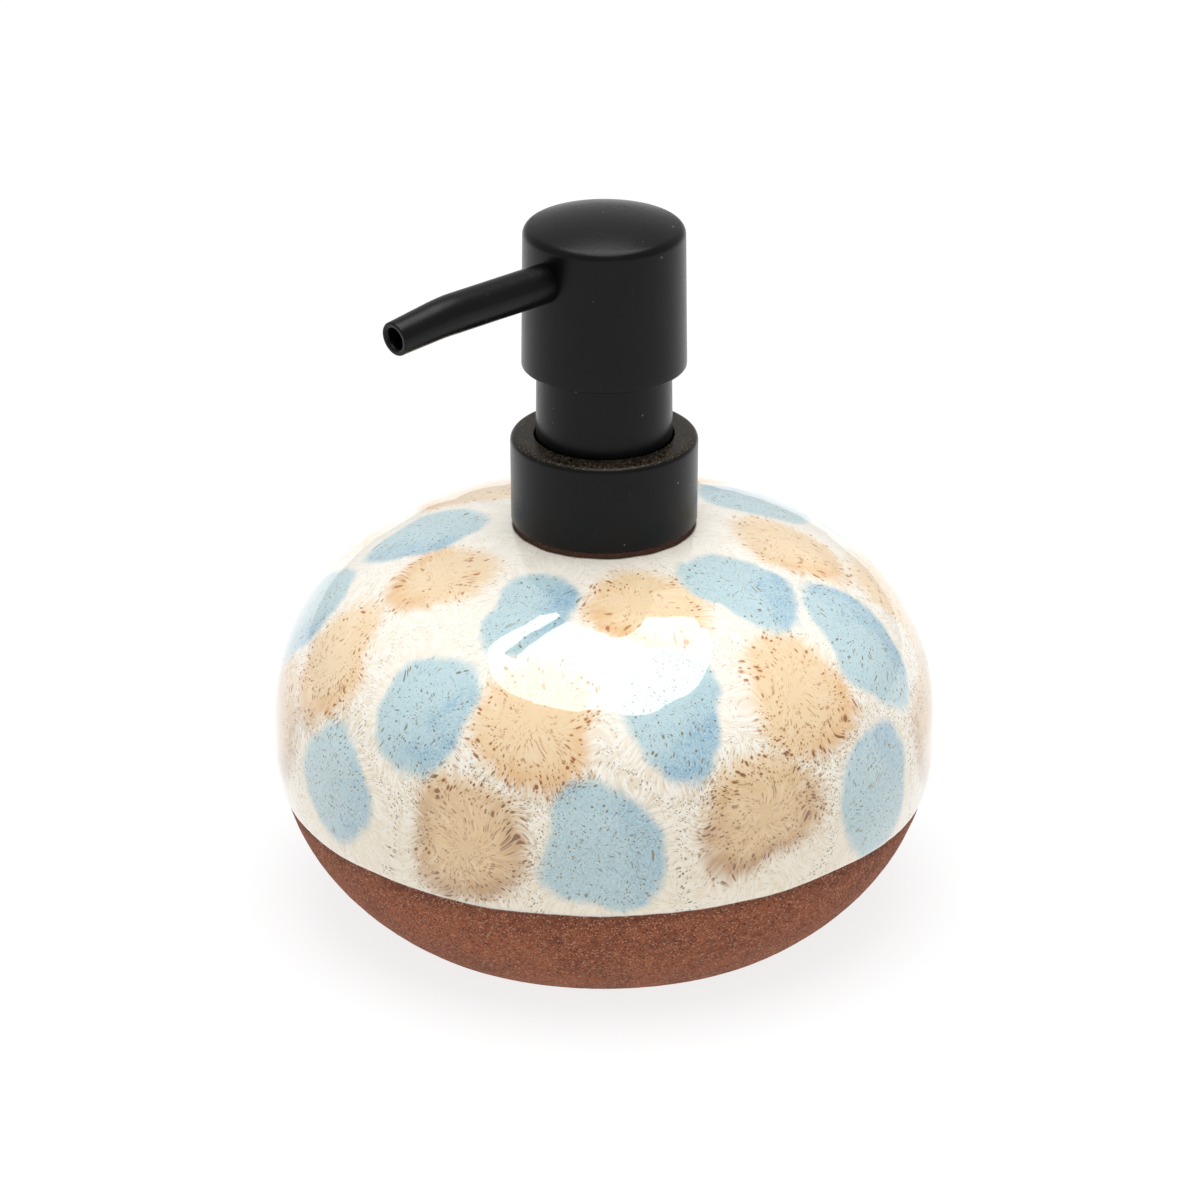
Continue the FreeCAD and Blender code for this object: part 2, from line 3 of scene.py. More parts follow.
import bpy
import numpy as np
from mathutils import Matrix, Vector

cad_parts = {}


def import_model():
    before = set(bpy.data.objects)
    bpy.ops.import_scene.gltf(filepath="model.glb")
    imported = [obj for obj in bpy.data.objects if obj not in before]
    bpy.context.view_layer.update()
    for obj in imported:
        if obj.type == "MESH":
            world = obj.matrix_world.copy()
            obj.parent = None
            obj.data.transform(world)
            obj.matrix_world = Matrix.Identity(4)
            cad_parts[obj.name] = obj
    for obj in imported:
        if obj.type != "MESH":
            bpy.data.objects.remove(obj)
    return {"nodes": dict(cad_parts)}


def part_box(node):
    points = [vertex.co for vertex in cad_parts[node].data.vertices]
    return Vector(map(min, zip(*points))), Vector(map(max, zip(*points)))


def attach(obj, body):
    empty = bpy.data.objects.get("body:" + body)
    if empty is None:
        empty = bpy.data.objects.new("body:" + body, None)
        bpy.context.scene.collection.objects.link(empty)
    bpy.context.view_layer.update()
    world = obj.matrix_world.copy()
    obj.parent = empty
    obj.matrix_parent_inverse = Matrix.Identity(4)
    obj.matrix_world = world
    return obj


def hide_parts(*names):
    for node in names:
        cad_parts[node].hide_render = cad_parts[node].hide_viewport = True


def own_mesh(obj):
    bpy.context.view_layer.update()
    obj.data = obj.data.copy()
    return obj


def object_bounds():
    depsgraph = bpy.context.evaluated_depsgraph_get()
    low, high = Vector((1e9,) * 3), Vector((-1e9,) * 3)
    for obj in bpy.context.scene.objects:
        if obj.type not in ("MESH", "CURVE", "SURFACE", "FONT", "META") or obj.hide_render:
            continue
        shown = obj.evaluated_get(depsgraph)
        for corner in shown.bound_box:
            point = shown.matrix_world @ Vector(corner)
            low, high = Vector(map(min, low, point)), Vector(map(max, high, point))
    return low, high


# A squat stoneware soap bottle with a screw-on pump. Lengths below are in millimetres in the
# frame's own axes: the pump's axis is Z, the spout points along -Y, the foot stands on z = 0.
MM = 0.001

# ---- body outline, the same superellipses as the frame's ----
BODY_R = 60.0
EQUATOR_Z = 31.6
UP_H = 41.1
LOW_H = 44.0
UP_N = 2.49
LOW_N = 2.10
GLAZE_T = 0.45
GLAZE_LINE_Z = 23.0
WALL_T = 5.0
FLOOR_Z = 7.0
MOUTH_R = 13.2
NECK_RING_R = 16.15

# ---- camera ----
VIEW_AZIMUTH = 47.2
VIEW_ELEVATION = 24.34
VIEW_DISTANCE = 1.0
TARGET_Z = 0.0566
LENS = 166.5
SHIFT_X = -0.0035


# ------------------------------------------------------------------ shader helpers
class Graph:
    """Short names for the shader nodes of one material."""

    def __init__(self, name):
        self.material = bpy.data.materials.new(name)
        self.material.use_nodes = True
        self.tree = self.material.node_tree
        self.shader = self.tree.nodes["Principled BSDF"]

    def put(self, socket, value):
        if isinstance(value, bpy.types.NodeSocket):
            self.tree.links.new(value, socket)
        else:
            socket.default_value = value

    def add(self, kind, inputs=(), **settings):
        node = self.tree.nodes.new(kind)
        for key, value in settings.items():
            setattr(node, key, value)
        for key, value in dict(inputs).items():
            self.put(node.inputs[key], value)
        return node

    def math(self, operation, a, b=0.0, c=0.0, clamp=False):
        node = self.add("ShaderNodeMath", {0: a, 1: b, 2: c}, operation=operation, use_clamp=clamp)
        return node.outputs[0]

    def vector(self, operation, a, b=(0, 0, 0)):
        node = self.add("ShaderNodeVectorMath", {0: a, 1: b}, operation=operation)
        return node.outputs["Value" if operation in ("LENGTH", "DOT_PRODUCT") else "Vector"]

    def scaled(self, a, factor):
        return self.add("ShaderNodeVectorMath", {0: a, "Scale": factor}, operation="SCALE").outputs[0]

    def split(self, a):
        return self.add("ShaderNodeSeparateXYZ", {0: a}).outputs

    def join(self, x, y, z):
        return self.add("ShaderNodeCombineXYZ", {0: x, 1: y, 2: z}).outputs[0]

    def smooth(self, value, low, high, to_low=0.0, to_high=1.0):
        inputs = {"Value": value, "From Min": low, "From Max": high, "To Min": to_low, "To Max": to_high}
        return self.add("ShaderNodeMapRange", inputs, interpolation_type="SMOOTHSTEP").outputs[0]

    def noise(self, vector, scale=1.0, detail=2.0, rough=0.5, lacunarity=2.0):
        inputs = {"Vector": vector, "Scale": scale, "Detail": detail, "Roughness": rough,
                  "Lacunarity": lacunarity}
        return self.add("ShaderNodeTexNoise", inputs).outputs["Fac"]

    def cells(self, vector, scale=1.0, randomness=1.0):
        inputs = {"Vector": vector, "Scale": scale, "Randomness": randomness}
        return self.add("ShaderNodeTexVoronoi", inputs).outputs

    def mix(self, factor, a, b, blend="MIX"):
        node = self.add("ShaderNodeMix", data_type="RGBA", blend_type=blend)
        for index, value in ((0, factor), (6, a), (7, b)):
            self.put(node.inputs[index], value)
        return node.outputs[2]

    def blend(self, factor, a, b):
        node = self.add("ShaderNodeMix", data_type="FLOAT")
        for index, value in ((0, factor), (2, a), (3, b)):
            self.put(node.inputs[index], value)
        return node.outputs[0]

    def attribute(self, name):
        return self.add("ShaderNodeAttribute", attribute_name=name).outputs

    def bump(self, height, distance, strength=1.0, normal=None):
        inputs = {"Height": height, "Distance": distance, "Strength": strength}
        if normal is not None:
            inputs["Normal"] = normal
        return self.add("ShaderNodeBump", inputs).outputs[0]

    def position(self):
        """Place on the object in millimetres."""
        place = self.add("ShaderNodeTexCoord").outputs["Object"]
        return self.scaled(place, 1 / MM)

    def finish(self, **inputs):
        for key, value in inputs.items():
            self.put(self.shader.inputs[key.replace("_", " ")], value)
        return self.material


def linear(red, green, blue):
    """Scene colour from 0-255 display values."""
    def one(v):
        v = v / 255
        return v / 12.92 if v <= 0.04045 else ((v + 0.055) / 1.055) ** 2.4
    return (one(red), one(green), one(blue), 1.0)


# ------------------------------------------------------------------ mesh helpers
def make_object(name, verts, faces, material, smooth=True):
    mesh = bpy.data.meshes.new(name)
    mesh.from_pydata([tuple(v) for v in np.asarray(verts) * MM], [], faces)
    mesh.update()
    mesh.shade_smooth() if smooth else None
    obj = bpy.data.objects.new(name, mesh)
    bpy.context.scene.collection.objects.link(obj)
    mesh.materials.append(material)
    return obj


def grid_faces(rows, columns, close_rows):
    """Quads of a grid whose columns wrap round, and whose rows do too if close_rows."""
    i = np.arange(rows if close_rows else rows - 1)[:, None]
    j = np.arange(columns)[None, :]
    i2, j2 = (i + 1) % rows, (j + 1) % columns
    quads = np.stack([i * columns + j, i2 * columns + j, i2 * columns + j2, i * columns + j2], -1)
    return quads.reshape(-1, 4)


def ring_grid(profile, columns):
    """Points (rows, columns, 3) of a profile of (radius, height) turned about Z."""
    profile = np.asarray(profile, float)
    turn = np.linspace(0, 2 * math.pi, columns, endpoint=False)
    x = profile[:, 0, None] * np.sin(turn)
    y = -profile[:, 0, None] * np.cos(turn)
    z = np.repeat(profile[:, 1, None], columns, 1)
    return np.stack([x, y, z], -1)


def turned(name, profile, columns, material):
    """Closed ring-shaped solid of revolution: the profile runs round its section."""
    grid = ring_grid(profile, columns)
    faces = grid_faces(len(profile), columns, True)
    return make_object(name, grid.reshape(-1, 3), faces.tolist(), material)


def capped(name, grid, first_z, last_z, material):
    """Solid of revolution whose section starts and ends on the axis."""
    rows, columns = grid.shape[:2]
    verts = np.concatenate([grid.reshape(-1, 3), [(0, 0, first_z), (0, 0, last_z)]])
    first, last = rows * columns, rows * columns + 1
    faces = grid_faces(rows, columns, False).tolist()
    end = (rows - 1) * columns
    for j in range(columns):
        k = (j + 1) % columns
        faces.append((first, j, k))
        faces.append((end + j, last, end + k))
    return make_object(name, verts, faces, material)


def arc_corner(before, corner, after, radius, steps):
    """Points of a round corner between two straight runs."""
    before, corner, after = (np.asarray(p, float) for p in (before, corner, after))
    a = (before - corner) / np.linalg.norm(before - corner)
    b = (after - corner) / np.linalg.norm(after - corner)
    half = math.acos(np.clip(a @ b, -1, 1)) / 2
    middle = (a + b) / np.linalg.norm(a + b)
    centre = corner + middle * radius / math.sin(half)
    start = corner + a * radius / math.tan(half) - centre
    end = corner + b * radius / math.tan(half) - centre
    sweep = math.acos(np.clip(start @ end / radius ** 2, -1, 1))
    points = []
    for k in range(steps + 1):
        t = k / steps
        along = start * math.sin((1 - t) * sweep) + end * math.sin(t * sweep)
        points.append(centre + along / math.sin(sweep))
    return points


def rounded(corners, steps=5, longest=1.2):
    """Closed profile from (radius, height, fillet) corners, with long runs divided."""
    outline = []
    count = len(corners)
    for i, (r, z, fillet) in enumerate(corners):
        before, after = corners[i - 1][:2], corners[(i + 1) % count][:2]
        if fillet:
            outline += arc_corner(before, (r, z), after, fillet, steps)
        else:
            outline.append(np.array([r, z], float))
    return divided(outline, longest, True)


def divided(points, longest, closed):
    """The same path with no run longer than a given length."""
    result = []
    last = len(points) if closed else len(points) - 1
    for i in range(last):
        a, b = np.asarray(points[i]), np.asarray(points[(i + 1) % len(points)])
        pieces = max(1, math.ceil(np.linalg.norm(b - a) / longest))
        result += [a + (b - a) * k / pieces for k in range(pieces)]
    if not closed:
        result.append(np.asarray(points[-1]))
    return result


def wrapped_noise(rng, rows, columns, passes):
    """Smooth random field on a grid whose columns wrap round, about -1 to 1."""
    field = rng.standard_normal((rows, columns))
    for _ in range(passes):
        field = (field + np.roll(field, 1, 1) + np.roll(field, -1, 1)) / 3
        padded = np.pad(field, ((1, 1), (0, 0)), mode="edge")
        field = (padded[:-2] + padded[1:-1] + padded[2:]) / 3
    return field / (3 * field.std())


# ------------------------------------------------------------------ body outline
def outline_z(radius, offset):
    """Height of the upper outline at a radius, the outline moved in by offset."""
    share = np.clip(radius / (BODY_R - offset), 0, 1) ** UP_N
    return EQUATOR_Z + (UP_H - offset) * (1 - share) ** (1 / UP_N)


def outline_radius(z, offset):
    """Radius of the outline at a height, above or below the equator."""
    z = np.asarray(z, float)
    up = z > EQUATOR_Z
    half = np.where(up, UP_H, LOW_H) - offset
    n = np.where(up, UP_N, LOW_N)
    share = np.clip(np.abs(z - EQUATOR_Z) / half, 0, 1) ** n
    return (BODY_R - offset) * (1 - share) ** (1 / n)


def outline_path(offset, r_top, z_bottom, spacing):
    """Evenly spaced (radius, height) points from the top radius down to a height."""
    t = np.linspace(0, 1, 4000)
    half_turn = math.acos((r_top / (BODY_R - offset)) ** (UP_N / 2))
    angle = half_turn * (1 - t)
    upper_r = (BODY_R - offset) * np.cos(angle) ** (2 / UP_N)
    upper_z = EQUATOR_Z + (UP_H - offset) * np.sin(angle) ** (2 / UP_N)
    depth = (EQUATOR_Z - z_bottom) / (LOW_H - offset)
    low_turn = math.asin(depth ** (LOW_N / 2))
    angle = low_turn * t[1:]
    lower_r = (BODY_R - offset) * np.cos(angle) ** (2 / LOW_N)
    lower_z = EQUATOR_Z - (LOW_H - offset) * np.sin(angle) ** (2 / LOW_N)
    path = np.stack([np.r_[upper_r, lower_r], np.r_[upper_z, lower_z]], 1)
    run = np.r_[0, np.cumsum(np.linalg.norm(np.diff(path, axis=0), axis=1))]
    count = int(run[-1] / spacing) + 1
    even = np.linspace(0, run[-1], count)
    return np.stack([np.interp(even, run, path[:, 0]), np.interp(even, run, path[:, 1])], 1)


# ------------------------------------------------------------------ glaze
# Spots of thicker coloured glaze stand in even rows round the body, tan and blue in turn.
# They are dabbed on by hand, so each sits a little off its even place. A spot of the lowest
# row comes under the gap between two of the middle row.
MIDDLE_COUNT = 14
MIDDLE_FIRST = 35
LOW_FIRST = MIDDLE_FIRST + 1.5 * 360 / MIDDLE_COUNT
SPOT_ROWS = (
    # count, azimuth of one tan spot, height, half width, half length, scatter round and in height
    (10, 60, 69, 9.6, 11.5, 2.0, 0.6),
    (MIDDLE_COUNT, MIDDLE_FIRST, 57, 10.8, 11.8, 2.5, 2.0),
    (MIDDLE_COUNT, LOW_FIRST, 37, 12.0, 11.2, 2.5, 3.5),
)
SPOT_SEED = 4
GLAZE_COLUMNS = 760
GLAZE_SPACING = 0.36

# waves of the glaze's lower edge, as (waves in a turn, size), and the slow swell of its skin
LINE_WAVES = ((1, 0.10), (2, 0.16), (3, 0.22), (5, 0.16), (8, 0.13), (13, 0.09), (21, 0.06))
SWELL_WAVES = 40
SWELL_SIZE = 0.05


def surface_frame(azimuth_deg, z):
    """Point of the glazed surface, and its unit directions round and down the body."""
    azimuth = math.radians(azimuth_deg)
    radius = float(outline_radius(z, 0))
    step = 0.05
    slope = (float(outline_radius(z - step, 0)) - float(outline_radius(z + step, 0))) / (2 * step)
    outward = np.array([math.sin(azimuth), -math.cos(azimuth), 0])
    around = np.array([math.cos(azimuth), math.sin(azimuth), 0])
    down = outward * slope + np.array([0, 0, -1])
    return outward * radius + np.array([0, 0, z]), around, down / np.linalg.norm(down)


def glaze_spots(rng):
    spots = []
    for count, first, row_z, half_width, half_length, round_off, height_off in SPOT_ROWS:
        for i in range(count):
            is_blue = i % 2 == 1
            azimuth = first + 360 * i / count + rng.uniform(-round_off, round_off)
            z = row_z + rng.uniform(-height_off, height_off)
            centre, around, down = surface_frame(azimuth, z)
            size = rng.uniform(0.94, 1.08)
            spots.append({
                "centre": centre, "around": around, "down": down, "blue": is_blue,
                "half": (half_width * size * (0.88 if is_blue else 1.03), half_length * size),
                "lobes": rng.uniform(0, 2 * math.pi, 3), "lobe_size": rng.uniform(0.4, 1.0, 3),
                "tone": rng.uniform(0, 1), "lean": rng.uniform(-0.9, 0.9) + (0.0 if is_blue else 1.5),
            })
    return spots


def spot_fields(points, spots):
    """Offsets from every spot and signed depths inside it, in millimetres."""
    offsets, depths = [], []
    for spot in spots:
        away = points - spot["centre"]
        across, along = away @ spot["around"], away @ spot["down"]
        off_surface = away @ np.cross(spot["around"], spot["down"])
        angle = np.arctan2(along, across)
        shape = 1.0
        for k, (phase, size) in enumerate(zip(spot["lobes"], spot["lobe_size"])):
            shape = shape + (0.10, 0.09, 0.06)[k] * size * np.sin((k + 2) * angle + phase)
        half_across, half_along = spot["half"]
        reach = np.sqrt((across / half_across) ** 2 + (along / half_along) ** 2
                        + (off_surface / (2 * half_across)) ** 2) / shape
        offsets.append(np.stack([across, along], -1))
        depths.append((1 - reach) * (half_across + half_along) / 2)
    return np.array(offsets), np.array(depths)


def glaze_grid(rng):
    """Points of the glaze skin: outside, rolled lower lip and inside, row by row."""
    path = outline_path(0, NECK_RING_R + 0.15, GLAZE_LINE_Z, GLAZE_SPACING)
    rows = len(path)
    share = np.linspace(0, 1, rows)[:, None]
    turn = np.linspace(0, 2 * math.pi, GLAZE_COLUMNS, endpoint=False)[None, :]

    waves = np.zeros_like(turn)
    for k, size in LINE_WAVES:
        waves += size * np.sin(k * turn + rng.uniform(0, 2 * math.pi))
    jag = wrapped_noise(rng, 1, GLAZE_COLUMNS, 2)
    line_shift = waves + 0.07 * jag

    # The rows follow the wavy edge more and more towards it.
    z = path[:, 1, None] + line_shift * share ** 6
    r = np.where(share > 0.5, outline_radius(z, 0), path[:, 0, None] + 0 * turn)

    swell = np.zeros((rows, GLAZE_COLUMNS))
    for _ in range(SWELL_WAVES):
        k, m = rng.integers(3, 22), rng.uniform(1.5, 6)
        phase = rng.uniform(0, 2 * math.pi)
        swell += np.sin(k * turn + 2 * math.pi * m * share + phase) / (k + 3 * m) ** 0.9
    swell *= SWELL_SIZE / swell.std()
    skin = swell + 0.010 * wrapped_noise(rng, rows, GLAZE_COLUMNS, 14)
    fade = np.clip((1 - share) * 30, 0, 1)
    inset = 0.11 - skin * fade
    inset = np.clip(inset, 0.0, None)

    # slope of the outline, for moving points square to it
    dr = np.gradient(path[:, 0])[:, None]
    dz = np.gradient(path[:, 1])[:, None]
    length = np.hypot(dr, dz)
    out_r, out_z = -dz / length, dr / length
    lip = 0.28 * np.clip(1 - (1 - share) * rows * GLAZE_SPACING / 0.9, 0, 1) ** 2.2
    shrink = inset + lip
    r, z = r - out_r * shrink, z - out_z * shrink

    outward = np.stack([np.sin(turn), -np.cos(turn)], -1)

    def as_points(radius, height):
        return np.concatenate([radius[..., None] * outward, height[..., None]], -1)

    outside = as_points(r, z)
    hidden = GLAZE_T + 0.06
    end_r, end_z = path[-1, 0] - out_r[-1] * hidden, path[-1, 1] + line_shift * 1.0 - out_z[-1] * hidden
    inner_path = path[::-8]
    inner_r = inner_path[:, 0, None] - out_r[::-8] * hidden + 0 * turn
    inner_z = inner_path[:, 1, None] - out_z[::-8] * hidden + line_shift * share[::-8] ** 6
    inner_r[0], inner_z[0] = end_r, end_z
    inside = as_points(inner_r, inner_z)
    return np.concatenate([outside, inside]), rows


def build_glaze(material):
    rng = np.random.default_rng(11)
    grid, outside_rows = glaze_grid(rng)
    points = grid.reshape(-1, 3)
    faces = grid_faces(len(grid), GLAZE_COLUMNS, True)
    obj = make_object("glaze", points, faces.tolist(), material)

    spots = glaze_spots(np.random.default_rng(SPOT_SEED))
    offsets, depths = spot_fields(points, spots)
    is_blue = np.array([s["blue"] for s in spots])
    weight = np.exp(np.clip(depths, -30, 8) * 0.55)
    weight /= weight.sum(0)
    tone = np.array([s["tone"] for s in spots]) @ weight
    lean = np.array([[math.cos(s["lean"]), math.sin(s["lean"])] for s in spots])
    slant = np.einsum("sk,spk->sp", lean, offsets) / 11
    crescent = (slant * weight).sum(0)
    ordered = np.sort(depths, axis=0)
    seam = ordered[-1] - ordered[-2]

    fields = {
        "tan_depth": depths[~is_blue].max(0), "blue_depth": depths[is_blue].max(0),
        "tone": tone, "crescent": crescent, "seam": seam,
    }
    for name, values in fields.items():
        layer = obj.data.attributes.new(name, "FLOAT", "POINT")
        layer.data.foreach_set("value", values.astype(np.float32))

    # Each face takes its streaks from one spot, so they never smear across a seam.
    middle = points[faces].mean(1)
    _, face_depths = spot_fields(middle, spots)
    owner = np.argmax(face_depths, axis=0)
    corner_owner = np.repeat(owner, 4)
    corner_point = faces.reshape(-1)
    flow = np.zeros((len(corner_point), 3), np.float32)
    flow[:, :2] = offsets[corner_owner, corner_point]
    flow[:, 2] = corner_owner
    layer = obj.data.attributes.new("flow", "FLOAT_VECTOR", "CORNER")
    layer.data.foreach_set("vector", flow.reshape(-1))
    return obj


def glaze_material():
    g = Graph("glaze")
    place = g.position()
    flow_x, flow_y, seed = g.split(g.attribute("flow")["Vector"])
    bend_x = g.math("SUBTRACT", g.noise(place, 0.11, 1), 0.5)
    bend_y = g.math("SUBTRACT", g.noise(g.vector("ADD", place, (37.0, 11.0, 5.0)), 0.11, 1), 0.5)
    flow_x = g.math("MULTIPLY_ADD", bend_x, 9.0, flow_x)
    flow_y = g.math("MULTIPLY_ADD", bend_y, 9.0, flow_y)
    flow_squared = g.math("ADD", g.math("MULTIPLY", flow_x, flow_x), g.math("MULTIPLY", flow_y, flow_y))
    spread = g.math("SQRT", flow_squared)
    safe = g.math("MAXIMUM", spread, 0.05)
    cos_a, sin_a = g.math("DIVIDE", flow_x, safe), g.math("DIVIDE", flow_y, safe)
    height = g.split(place)[2]
    tan_depth = g.attribute("tan_depth")["Fac"]
    blue_depth = g.attribute("blue_depth")["Fac"]
    tone = g.attribute("tone")["Fac"]
    crescent = g.attribute("crescent")["Fac"]
    seam = g.attribute("seam")["Fac"]

    def radial(fineness, stretch, shift):
        """Coordinates in which a round texture is drawn out away from the spot's centre."""
        key = g.math("MULTIPLY", seed, 17.3)
        return g.join(g.math("MULTIPLY_ADD", cos_a, fineness, key),
                      g.math("MULTIPLY_ADD", sin_a, fineness, key),
                      g.math("MULTIPLY_ADD", spread, stretch, shift))

    wobble = g.noise(place, 0.35, 2)
    outer_band = g.smooth(g.math("MULTIPLY_ADD", wobble, 2.0, spread), 6.6, 8.4)

    def banded(inner, outer):
        return g.blend(outer_band, inner, outer)

    # fur-like streaks
    fur = banded(g.noise(radial(11, 0.42, 0.0), 1, 3, 0.6), g.noise(radial(21, 0.42, 5.0), 1, 3, 0.6))
    fur = g.math("SUBTRACT", fur, 0.5)
    near_centre = g.smooth(spread, 1.5, 7.0, 0.15, 1.0)
    fur = g.math("MULTIPLY", fur, near_centre)
    wide_fur = g.math("SUBTRACT", g.noise(radial(6, 0.16, 9.0), 1, 2, 0.5), 0.5)
    soft = g.math("SUBTRACT", g.noise(place, 0.22, 3, 0.55), 0.5)
    grain = g.math("SUBTRACT", g.noise(place, 2.6, 3, 0.6), 0.5)

    # colour masks: tan is brushed outward, blue has a plain soft edge
    tan_edge = g.math("MULTIPLY_ADD", fur, 4.2, tan_depth)
    tan_edge = g.math("MULTIPLY_ADD", wide_fur, 2.6, tan_edge)
    tan_edge = g.math("MULTIPLY_ADD", soft, 2.5, tan_edge)
    tan_mask = g.smooth(tan_edge, -1.9, 3.0)
    blue_edge = g.math("MULTIPLY_ADD", soft, 3.0, blue_depth)
    blue_edge = g.math("MULTIPLY_ADD", grain, 0.9, blue_edge)
    blue_mask = g.smooth(blue_edge, -0.9, 1.5)
    # low marks the lower body; the tan spots are painted darker there as shade on the downward-turning glaze
    low = g.smooth(height, 50, 40)

    streak = g.smooth(fur, -0.10, 0.13)
    cream_hair = g.math("MULTIPLY", streak, g.smooth(height, 66, 40, 0.35, 1.0))
    cream = g.mix(cream_hair, linear(252, 247, 236), linear(234, 219, 193))
    # painted shade: the cream is mixed darker and yellower towards the bottom of the body, standing in for
    # the shade on its downward-turning glaze
    cream = g.mix(g.smooth(height, 30, 50, 0.5, 0.0), cream, linear(232, 219, 192))
    pale_tan = g.mix(g.smooth(tone, 0.3, 0.8), linear(245, 221, 182), linear(239, 211, 168))
    # painted shade: pale tan and deep tan both turn darker on the lower spots
    tan = g.mix(low, pale_tan, linear(227, 191, 136))
    deep_tan = g.mix(low, linear(228, 178, 114), linear(168, 117, 58))
    arc = g.smooth(g.math("MULTIPLY_ADD", soft, 1.6, crescent), -0.2, 0.7)
    rim = g.smooth(tan_depth, 6.5, 1.2)
    shade = g.math("MULTIPLY", g.math("MULTIPLY", arc, rim), 0.8)
    # the darker tan rims are the glaze's own, painted stronger lower down as shade
    rim_and_low_shade = g.math("MULTIPLY", g.math("MULTIPLY", low, rim), 0.45)
    tan = g.mix(g.math("MAXIMUM", shade, rim_and_low_shade), tan, deep_tan)
    tan = g.mix(g.math("MULTIPLY", streak, 0.26), tan, deep_tan)
    tan = g.mix(g.smooth(wide_fur, 0.0, 0.16, 0.0, 0.25), tan, linear(246, 228, 198))
    deepen = g.smooth(g.math("MULTIPLY_ADD", soft, 1.6, crescent), 0.0, 0.9)
    blue = g.mix(deepen, linear(176, 209, 217), linear(126, 177, 204))
    # painted shade: the blue spots are mixed greyer and darker towards the bottom of the body
    blue = g.mix(g.smooth(height, 50, 34, 0.0, 0.6), blue, linear(142, 179, 188))
    blue = g.mix(g.smooth(grain, -0.09, 0.13, 0.0, 0.5), blue, linear(210, 222, 222))

    colour = g.mix(g.math("MULTIPLY", tan_mask, 0.94), cream, tan)
    colour = g.mix(g.math("MULTIPLY", blue_mask, 0.94), colour, blue)

    angle = g.math("ARCTAN2", flow_y, flow_x)

    def fleck(fineness, stretch, shift, keep, size):
        """Long dots drawn out along the flow; keep is the share of cells left empty."""
        key = g.math("MULTIPLY", seed, 17.3)
        spot_place = g.join(g.math("MULTIPLY_ADD", angle, fineness, key),
                            g.math("MULTIPLY_ADD", spread, stretch, shift), 0.0)
        cell = g.add("ShaderNodeTexVoronoi", {"Vector": spot_place, "Scale": 1.0, "Randomness": 0.9},
                     voronoi_dimensions="2D").outputs
        pick = g.split(cell["Color"])[0]
        reach = g.math("MULTIPLY", g.smooth(pick, keep, 1.0, 0.3, 1.0), size)
        reach = g.math("MULTIPLY", reach, g.math("GREATER_THAN", pick, keep))
        return g.smooth(g.math("SUBTRACT", reach, cell["Distance"]), 0.0, 0.10)

    # iron flecks, thickest round the tan rims and lower down the body
    off_centre = g.smooth(spread, 0.8, 2.2)
    ring_area = g.math("MULTIPLY", g.smooth(tan_depth, -2.0, 1.0), g.smooth(tan_depth, 8.5, 3.0, 0.35, 1.0))
    bold_keep = g.smooth(height, 66, 44, 0.88, 0.70)
    bold = banded(fleck(8.0, 1.15, 2.0, bold_keep, 0.48), fleck(15.0, 1.15, 7.0, bold_keep, 0.48))
    halo = banded(fleck(8.0, 1.15, 2.0, bold_keep, 0.78), fleck(15.0, 1.15, 7.0, bold_keep, 0.78))
    halo = g.math("MULTIPLY", g.math("MULTIPLY", halo, off_centre), ring_area)
    bold = g.math("MULTIPLY", g.math("MULTIPLY", bold, off_centre), ring_area)
    bold = g.math("MULTIPLY", bold, g.smooth(height, 72, 48, 0.8, 0.95))
    slight_keep = g.smooth(height, 64, 42, 0.82, 0.64)
    slight = banded(fleck(13.0, 1.6, 4.0, slight_keep, 0.42), fleck(25.0, 1.6, 11.0, slight_keep, 0.42))
    near_tan = g.smooth(tan_depth, -4.5, 1.5, 0.25, 1.0)
    slight = g.math("MULTIPLY", g.math("MULTIPLY", slight, off_centre), near_tan)
    slight = g.math("MULTIPLY", slight, g.smooth(height, 72, 44, 0.45, 0.74))
    fleck_colour = g.mix(g.smooth(height, 60, 40), linear(164, 98, 34), linear(116, 74, 28))
    not_blue = g.math("SUBTRACT", 1.0, g.math("MULTIPLY", blue_mask, 0.85))
    halo = g.math("MULTIPLY", g.math("MULTIPLY", halo, not_blue), 0.38)
    colour = g.mix(halo, colour, linear(204, 142, 72))
    colour = g.mix(g.math("MULTIPLY", slight, not_blue), colour, fleck_colour)
    colour = g.mix(g.math("MULTIPLY", bold, not_blue), colour, fleck_colour)

    # olive specks in the blue, and dark pinpricks where two flows meet
    blue_keep = g.smooth(height, 68, 42, 0.80, 0.58)
    olive = banded(fleck(9.0, 1.25, 21.0, blue_keep, 0.41), fleck(17.0, 1.25, 27.0, blue_keep, 0.41))
    olive = g.math("MULTIPLY", g.math("MULTIPLY", olive, blue_mask), 0.85)
    colour = g.mix(olive, colour, linear(116, 102, 58))
    mist = banded(fleck(15.0, 2.2, 31.0, 0.5, 0.40), fleck(28.0, 2.2, 37.0, 0.5, 0.40))
    mist = g.math("MULTIPLY", g.math("MULTIPLY", mist, blue_mask), 0.5)
    colour = g.mix(mist, colour, linear(124, 140, 136))
    meeting = g.smooth(g.math("MULTIPLY_ADD", soft, 3.0, seam), 4.6, 0.4)
    meeting = g.math("MULTIPLY", meeting, g.smooth(height, 66, 38, 0.25, 1.0))
    prick = banded(fleck(19.0, 1.7, 3.0, 0.50, 0.44), fleck(34.0, 1.7, 13.0, 0.50, 0.44))
    prick = g.math("MULTIPLY", g.math("MULTIPLY", prick, meeting), 0.9)
    colour = g.mix(prick, colour, linear(104, 96, 70))

    # the glaze thins to a pale bluish edge over the clay
    edge = g.smooth(height, GLAZE_LINE_Z + 0.9, GLAZE_LINE_Z + 0.1)
    colour = g.mix(g.math("MULTIPLY", edge, 0.6), colour, linear(190, 192, 190))

